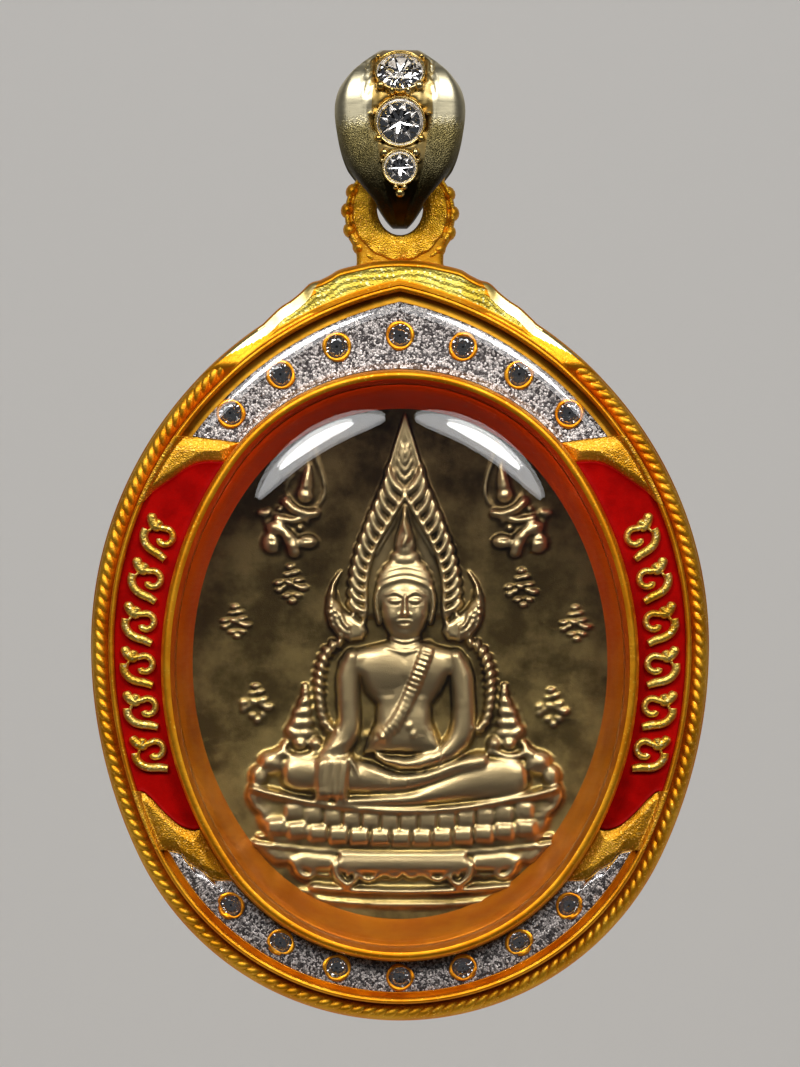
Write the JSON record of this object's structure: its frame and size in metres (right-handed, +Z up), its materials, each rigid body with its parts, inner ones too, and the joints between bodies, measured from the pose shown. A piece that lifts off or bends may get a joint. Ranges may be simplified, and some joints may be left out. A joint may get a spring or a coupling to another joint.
{
  "type": "thai buddha amulet pendant",
  "caption": "Gilt oval locket with red enamel, white panels and stones round a domed window over a cast seated-figure medal, on a stone-set bail.",
  "frame": {"origin": "centre of the bail's chain opening, where the chain passes", "axes": "+Z up along the hanging pendant, face towards -Y, +X across to the viewer's right"},
  "size_m": [0.038, 0.01, 0.0599],
  "materials": {
    "case_gold": "polished gilt",
    "frame_gold": "polished and frosted gilt",
    "rope_gold": "twisted gilt wire",
    "bail_gold": "polished above, frosted below",
    "collar_gold": "amber gilt seen through the lens",
    "scroll_gold": "granulated gilt",
    "medal_bronze": "antiqued, worn bright on the relief",
    "red_enamel": "glossy enamel",
    "white_metal": "frosted glitter",
    "clear_resin": "clear resin",
    "lens_clear": "clear acrylic",
    "stone_clear": "cut clear stone"
  },
  "bodies": {
    "hanger": {"bail": "bail_gold", "bail_stone_1": "stone_clear", "bail_stone_2": "stone_clear", "bail_stone_3": "stone_clear"},
    "locket": {"back_shell": "case_gold", "front_frame": "frame_gold", "rope_edge": "rope_gold", "inner_collar": "collar_gold", "lens": "lens_clear", "medal": "medal_bronze", "enamel_left": "red_enamel", "enamel_right": "red_enamel", "white_panel_top": "white_metal", "white_panel_low": "white_metal", "resin_top": "clear_resin", "resin_low": "clear_resin", "scroll_left_1": "scroll_gold", "scroll_left_2": "scroll_gold", "scroll_left_3": "scroll_gold", "scroll_left_4": "scroll_gold", "scroll_left_5": "scroll_gold", "scroll_left_6": "scroll_gold", "scroll_right_1": "scroll_gold", "scroll_right_2": "scroll_gold", "scroll_right_3": "scroll_gold", "scroll_right_4": "scroll_gold", "scroll_right_5": "scroll_gold", "scroll_right_6": "scroll_gold", "top_stone_1": "stone_clear", "top_stone_2": "stone_clear", "top_stone_3": "stone_clear", "top_stone_4": "stone_clear", "top_stone_5": "stone_clear", "top_stone_6": "stone_clear", "top_stone_7": "stone_clear", "low_stone_1": "stone_clear", "low_stone_2": "stone_clear", "low_stone_3": "stone_clear", "low_stone_4": "stone_clear", "low_stone_5": "stone_clear", "low_stone_6": "stone_clear", "low_stone_7": "stone_clear"}
  },
  "joints": [
    {"name": "case_swing", "type": "hinge", "parent": "hanger", "child": "locket", "pos_m": [0, 0, -0.0038], "axis": [1, 0, 0], "range_deg": [-25, 25]}
  ]
}
